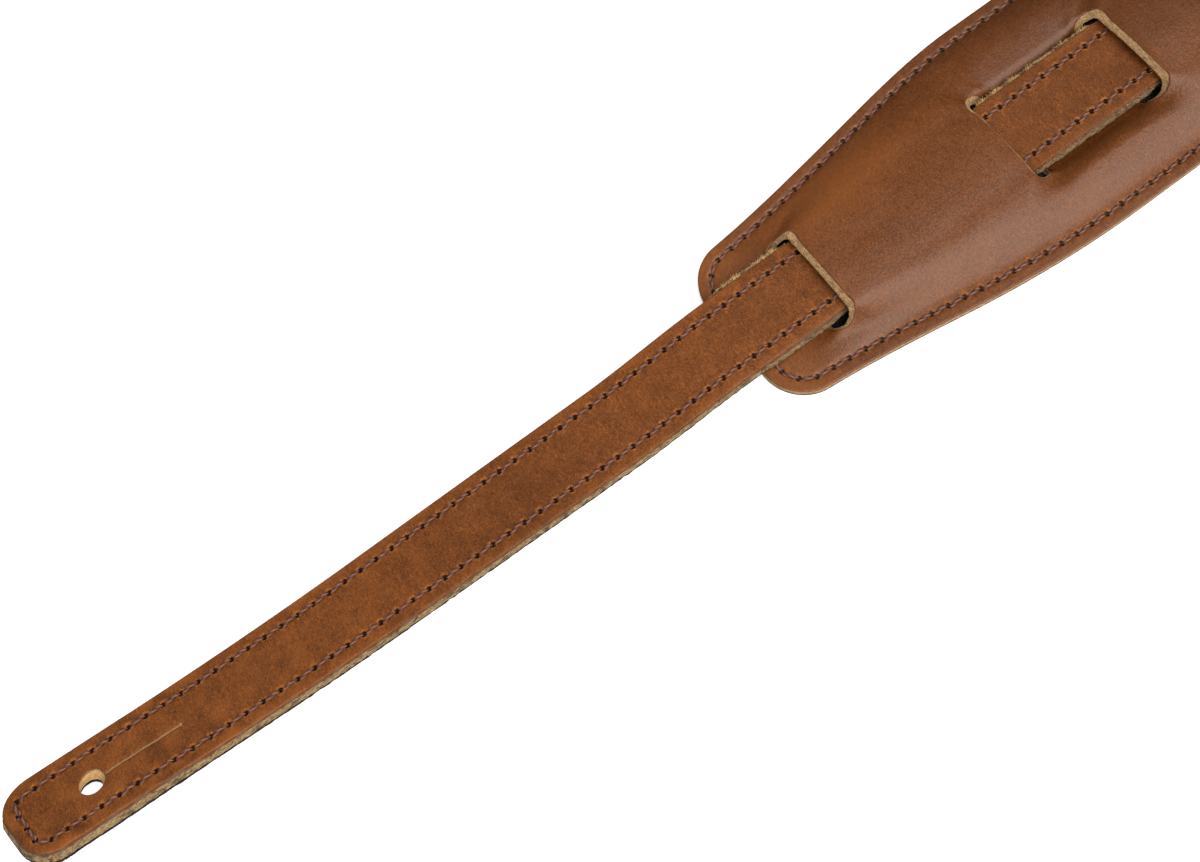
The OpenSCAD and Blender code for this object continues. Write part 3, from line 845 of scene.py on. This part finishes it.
def tail_lining():
    rx, ry, nx, ny = tail_rings(0.5)
    n = len(rx)
    keep = np.unique(np.concatenate((np.arange(0, 24), np.arange(24, n - 8, 3), np.arange(n - 8, n))))
    rim = [(0.25, SUEDE_T * 0.75), (0.35, SUEDE_T * 0.45), (0.2, 0.1)]
    slab = build_slab(rx[keep], ry[keep], nx[keep], ny[keep], tail_cols(False), SUEDE_T, 0.0, rim,
                      [lining_hole(HOLE_X, 6.0)])
    x, y, h = slab.arrays()
    low = np.where(h < 0.01, 1.0, 0.0)
    h = h + low * 0.05 * (1 + waves(x, y, 3.5, 9))
    y = y + np.where((h > 0.02) & (h < 0.7), 0.10 * waves(x, h, 1.4, 10) * np.sign(y), 0)
    return new_piece("tail_lining", on_tail(x, y, h - 0.02), slab.faces, "tail", ["tail_backing"],
                     black_suede)


def tail_stitches():
    co, faces, values = tubes(TAIL_LINE, on_tail, TAIL_T)
    new_piece("tail_stitches_top", co, faces, "tail", ["tail_needle_thread"], seam_thread, values)
    co, faces, values = tubes(TAIL_LINE, on_tail, 0.0, wide=0.8, high=0.4, around=8, along=9, sink=0.3,
                              lift=0.0, side=-1)
    new_piece("tail_stitches_under", co, faces, "tail", ["tail_bobbin_thread"], seam_thread, values)


def tail_rim_points(rng, n, spans):
    """Random places on the tail's outline, inside spans of (x, x, side): x, y and outward way."""
    lo, hi, side = spans[rng.integers(0, len(spans), n)].T
    x = rng.uniform(lo, hi)
    arc = np.maximum(0, TIP_R - x)
    round_y = HALF_TAIL - TIP_R + np.sqrt(np.maximum(0, TIP_R ** 2 - arc ** 2))
    y = side * np.where(x < TIP_R, round_y, HALF_TAIL)
    nx = -np.where(x < TIP_R, arc / TIP_R, 0)
    ny = side * np.sqrt(1 - nx ** 2)
    return x, y, nx, ny


def tail_hairs(name, seed, n, spans, heights, lengths, radii, down, material, clumps=0, sunk=0.12):
    """Loose fibres standing out of the tail's cut edge, spread out or gathered into clumps."""
    rng = np.random.default_rng(seed)
    x, y, nx, ny = tail_rim_points(rng, clumps or n, np.array(spans, float))
    if clumps:
        of = rng.choice(clumps, n, p=rng.dirichlet(np.full(clumps, 1.2)))
        x, y, nx, ny = x[of] + rng.normal(0, 0.3, n), y[of], nx[of], ny[of]
    h = rng.uniform(*heights, n)
    base = on_tail(x - nx * sunk, y - ny * sunk, h)
    out = on_tail(x + nx + rng.normal(0, 0.7, n), y + ny, h + rng.normal(down, 0.6, n)) - on_tail(x, y, h)
    length = rng.uniform(*lengths, n) * rng.uniform(0.4, 1, n) * MM
    co, faces = fibres(base, out, length, rng.uniform(*radii, n) * MM, rng)
    return new_piece(name, co, faces, "tail", (), material)


# ---------------------------------------------------------------- pad pieces
def pad_cols(w, fine):
    """Flat y of each column in a row of half width w."""
    band = np.array([0, 2.2, 4.4, RIM_BAND])
    if fine:                                 # closest together along the seam
        band = np.array([0, .3, .8, 1.5, 2.1, 2.5, 2.8, 3.1, 3.35, 3.6, 3.9, 4.3, 4.9, 5.7, RIM_BAND])
    inner = np.maximum(w - RIM_BAND, 0.4 * w)
    outer = w[:, None] - (w - inner)[:, None] * (band / RIM_BAND)[None]
    inside = inner[:, None] * np.linspace(0, 1, 19 if fine else 9)[None, :-1]
    half = np.concatenate((inside, outer[:, ::-1]), 1)
    return np.concatenate((-half[:, :0:-1], half), 1)


def pad_grid(inset, step=1):
    p = pad_rings()
    if step > 1:
        p = np.concatenate((p[:REAR_ROWS], p[REAR_ROWS:-NOSE_ROWS:step], p[-NOSE_ROWS:]))
    x, y = pad_outline(p, inset)
    nx, ny = (p - x) / inset, (pad_half(p) - y) / inset
    x[0], y[0] = inset, REAR_FLAT
    x[-1], y[-1] = PAD_LEN - inset, NOSE_FLAT
    nx[0], ny[0], nx[-1], ny[-1] = -1, 0, 1, 0
    return x, y, nx, ny


def pad_edge(x, y):
    """Rough distance in from the pad's outline."""
    return np.minimum(np.minimum(pad_half(np.clip(x, 0, PAD_LEN)) - np.abs(y), x), PAD_LEN - x)


def slot_gap(x, y):
    """Distance from the nearest slot's cut."""
    gap = np.full_like(x, 99.0)
    for s in SLOTS:
        cy = np.clip(y, SLOT_LOW, SLOT_HIGH)
        gap = np.minimum(gap, np.hypot(x - s, y - cy) - SLOT_R)
    return gap


def pad_skin():
    rx, ry, nx, ny = pad_grid(RIM)
    lip, soft = CUT_SLOPE, 0.3
    steps = [(lip + 0.35 * (1 - math.sin(a)), -soft * (1 - math.cos(a)))
             for a in np.linspace(0, math.pi / 2, 4)]
    steps += [(lip * (1 - t) ** 1.2, mix(-soft, -SKIN_T + 0.15, t)) for t in np.linspace(0.17, 1, 6)]
    steps.append((0.1, -SKIN_T))
    cuts = [(s, (SLOT_LOW, SLOT_HIGH), SLOT_R, 8.0, 21.5, steps) for s in SLOTS]
    cuts.append((PAD_LEN - HOLE_X, (0, 0), HOLE_R, 6.2, 6.2, hole_steps(SKIN_T)))
    rim = edge_steps(SKIN_T, n=5)
    slab = build_slab(rx, ry, nx, ny, lambda w: pad_cols(w, True), 0.0, -SKIN_T, rim, cuts)
    x, y, h = slab.arrays()
    q = PAD_LEN - x
    gap = np.minimum(slot_gap(x, y), np.hypot(q - HOLE_X, y) - HOLE_R)
    edge = np.minimum(pad_edge(x, y), gap)
    count, beside = PAD_LINE.beside(x, y)
    deep = -h
    face = np.where(deep < 0.01, 1.0, 0.0)
    dip = seam_dip(count, beside, 0.26, 0.9, 0.42, 0.6, 0.06)
    slit = smooth((q - HOLE_X - HOLE_R + 0.6) / 0.5) * smooth((SLIT_END - q) / 0.6)
    slit = slit * np.exp(-(y / 0.5) ** 2) * face
    calm = smooth(gap / 2.5) * smooth(pad_edge(x, y) / 5.5)
    uneven = 0.16 * waves(x, y, 42, 13) + 0.05 * waves(x, y, 11, 14)
    h = h + face * (uneven * calm - dip - 0.3 * slit)
    for s in SLOTS:                          # fine creases fanning from the slots' corners
        for side in (-1, 1):
            ux, uy = x - s - 2, (np.abs(y) - 17.5)
            r = np.hypot(ux, uy)
            a = np.arctan2(uy, ux)
            on = np.where(y * side > 0, 1, 0) * np.exp(-((r - 4.5) / 3.2) ** 2)
            on = on * smooth((a + 0.5) / 0.8) * smooth((1.6 - a) / 0.8)
            h = h + face * on * 0.05 * np.sin(a * 34 + 2 * np.sin(r * 0.9))
    bare = smooth((deep - 0.5) / 0.3) * smooth((SKIN_T + 0.02 - deep) / 0.1)
    ragged = bare * (0.06 * waves(x + y, h * 2, 1.5, 16) + 0.04 * waves(x - y, h, 0.8, 17))
    co = on_pad(x, y + ragged * np.sign(y), h)
    co[:, 0] += ragged * MM * np.where(gap < 0.5, 1.0, 0.0)
    # painted light and shade: lighter at the rear end and in a patch beside slot 1's +y end, darker from
    # about x = 80 over the middle and +y side
    pale = (0.5 * smooth((22 - x) / 14) + 0.62 * np.exp(-((x - 45) / 28) ** 2 - ((y - 19) / 10) ** 2)
            - 0.36 * smooth((x - 80) / 50) * smooth((y + 14) / 16))
    return new_piece("pad_skin", co, slab.faces, "pad", ["pad_top_leather"], pad_hide,
                     {"deep": deep, "edge": edge, "stitch": count, "beside": beside, "slit": slit,
                      "pale": pale})


def on_floor(p, y, h):
    return np.stack(((X_PAD + p) * MM + 0 * y, sway(p, y) * MM, h * MM + 0 * p), -1)


def pad_lining():
    rx, ry, nx, ny = pad_grid(0.4, 2)
    rim = [(0.3, SUEDE_T * 0.75), (0.4, SUEDE_T * 0.45), (0.25, 0.1)]
    slab = build_slab(rx, ry, nx, ny, lambda w: pad_cols(w, False), SUEDE_T - 0.03, 0.0, rim,
                      [lining_hole(PAD_LEN - HOLE_X, 6.2)])
    x, y, h = slab.arrays()
    h = h + np.where(h < 0.01, 0.04 * (1 + waves(x, y, 4.0, 19)), 0)
    return new_piece("pad_lining", on_floor(x, y, h), slab.faces, "pad", ["pad_backing"],
                     black_suede)


def pad_stitches():
    co, faces, values = tubes(PAD_LINE, on_pad, 0.0, around=10, along=12, sink=0.7, lift=0.03)
    new_piece("pad_stitches_top", co, faces, "pad", ["pad_needle_thread"], seam_thread, values)
    co, faces, values = tubes(PAD_LINE, on_floor, 0.12, wide=0.8, high=0.3, around=8, along=9, sink=0.3,
                              lift=-0.06, side=-1)
    co[:, 2] = np.maximum(co[:, 2], 0.02 * MM)
    new_piece("pad_stitches_under", co, faces, "pad", ["pad_bobbin_thread"], seam_thread, values)


def pad_filling():
    lo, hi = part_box("pad_foam")
    p = np.linspace(lo.x / MM - X_PAD + 1, hi.x / MM - X_PAD - 1, 260)
    v = np.linspace(-1, 1, 61)
    w = pad_half(p) - 6.5
    x = p[:, None] + 0 * v
    y = w[:, None] * v
    ends = smooth((p - p[0]) / 14) * smooth((p[-1] - p) / 14)
    top = pad_top(x, y) - SKIN_T - 0.25
    beyond = smooth((np.abs(y) - 15.5) / 1.2)
    channel_end = TAIL_END + 24
    channel = np.where(x < channel_end, beyond, smooth((x - channel_end) / 3 + beyond))
    body = (1 - np.abs(v) ** 14)[None] * ends[:, None] * channel
    top = mix(SUEDE_T + 0.12, np.maximum(top, SUEDE_T + 0.12), body)
    slab = Slab()
    upper, lower = slab.add(x, y, top), slab.add(x, y, SUEDE_T + 0.06)
    slab.quads(upper)
    slab.quads(lower, flip=True)
    rows = loop_of(0, len(p) - 1, 0, len(v) - 1)
    slab.ribbon([upper[rows[:, 0], rows[:, 1]], lower[rows[:, 0], rows[:, 1]]])
    fx, fy, fh = slab.arrays()
    return new_piece("pad_filling", on_floor(fx, fy, fh), slab.faces, "pad", ["pad_foam"], foam_grey)


skin_of_tail = tail_skin()
lining_of_tail = tail_lining()
tail_stitches()
skin_of_pad = pad_skin()
lining_of_pad = pad_lining()
pad_stitches()
filling = pad_filling()

SKIN_H = (SUEDE_T + 0.1, TAIL_T - 1.3)
HAIR_END = TAIL_LEN - 4
FIBRE_SPANS = [(1, HAIR_END, -1), (1, HAIR_END, 1), (150, 375, 1), (150, 375, -1)]
FUZZ_SPANS = [(0.2, HAIR_END, -1), (0.2, 12, -1), (0.2, 12, 1), (1, HAIR_END, 1), (0.2, 260, -1)]
tail_hairs("tail_fibres", 21, 1500, FIBRE_SPANS, SKIN_H, (0.25, 0.9), (0.03, 0.07), -0.2,
           tan_fibre)
tail_hairs("tail_frayed", 23, 700, RAGGED, (TAIL_T - 1.3, TAIL_T - 0.4), (0.7, 1.25), (0.05, 0.1), 0.1,
           tan_fibre)
tail_hairs("tail_tufts", 24, 420, RAGGED[:2], (TAIL_T - 0.9, TAIL_T - 0.3), (1.5, 2.3), (0.07, 0.12), 0.3,
           tan_fibre, clumps=34)
tail_hairs("tail_fuzz", 22, 2600, FUZZ_SPANS, (-0.05, SUEDE_T), (0.7, 1.2), (0.03, 0.06), -0.3,
           black_suede, sunk=0.6)

PAD_AREA = float(np.trapz(2 * pad_half(np.linspace(0, PAD_LEN, 4000)), dx=PAD_LEN / 3999)) * MM * MM

# ---------------------------------------------------------------- stage and light
floor_mesh = bpy.data.meshes.new("floor")
corners = ((-6, -6), (6, -6), (6, 6), (-6, 6))
floor_mesh.from_pydata([(x, y, -0.0003) for x, y in corners], [], [(0, 1, 2, 3)])
floor = bpy.data.objects.new("floor", floor_mesh)
bpy.context.scene.collection.objects.link(floor)
pale = Graph("floor_pale")
pale.bsdf.inputs["Base Color"].default_value = (0.93, 0.93, 0.93, 1)
pale.bsdf.inputs["Roughness"].default_value = 0.9
pale.bsdf.inputs["Specular IOR Level"].default_value = 0.1
pale.bsdf.inputs["Emission Color"].default_value = (1, 1, 1, 1)
pale.bsdf.inputs["Emission Strength"].default_value = 0.45
floor_mesh.materials.append(pale.mat)
floor.visible_glossy = False

world = bpy.data.worlds.new("studio")
bpy.context.scene.world = world
world.use_nodes = True
world.node_tree.nodes["Background"].inputs["Color"].default_value = (1, 1, 1, 1)
world.node_tree.nodes["Background"].inputs["Strength"].default_value = 0.66
world.cycles_visibility.glossy = False


def softbox(name, way, distance, size, power, aim):
    """A square area light, that far from aim along way, facing it."""
    lamp = bpy.data.lights.new(name, "AREA")
    lamp.shape = "SQUARE"
    lamp.size = size
    lamp.energy = power
    o = bpy.data.objects.new(name, lamp)
    bpy.context.scene.collection.objects.link(o)
    d = Vector(way).normalized()
    o.location = Vector(aim) + d * distance
    o.rotation_euler = d.to_track_quat("Z", "Y").to_euler()
    return o


PAD_MID = (X_PAD * MM + 0.08, 0.0, 0.0)
softbox("key", (0.32, -0.53, 0.785), 1.6, 2.0, 34, PAD_MID)
softbox("fill", (-0.5, -0.75, 0.6), 2.2, 1.6, 16, PAD_MID)

far_fill = softbox("far_fill", (0.05, 0.85, 0.5), 2.2, 1.8, 7, PAD_MID)
far_fill.visible_glossy = False                   # its reflection would whiten the +y slopes

bpy.context.scene.view_settings.view_transform = "Standard"
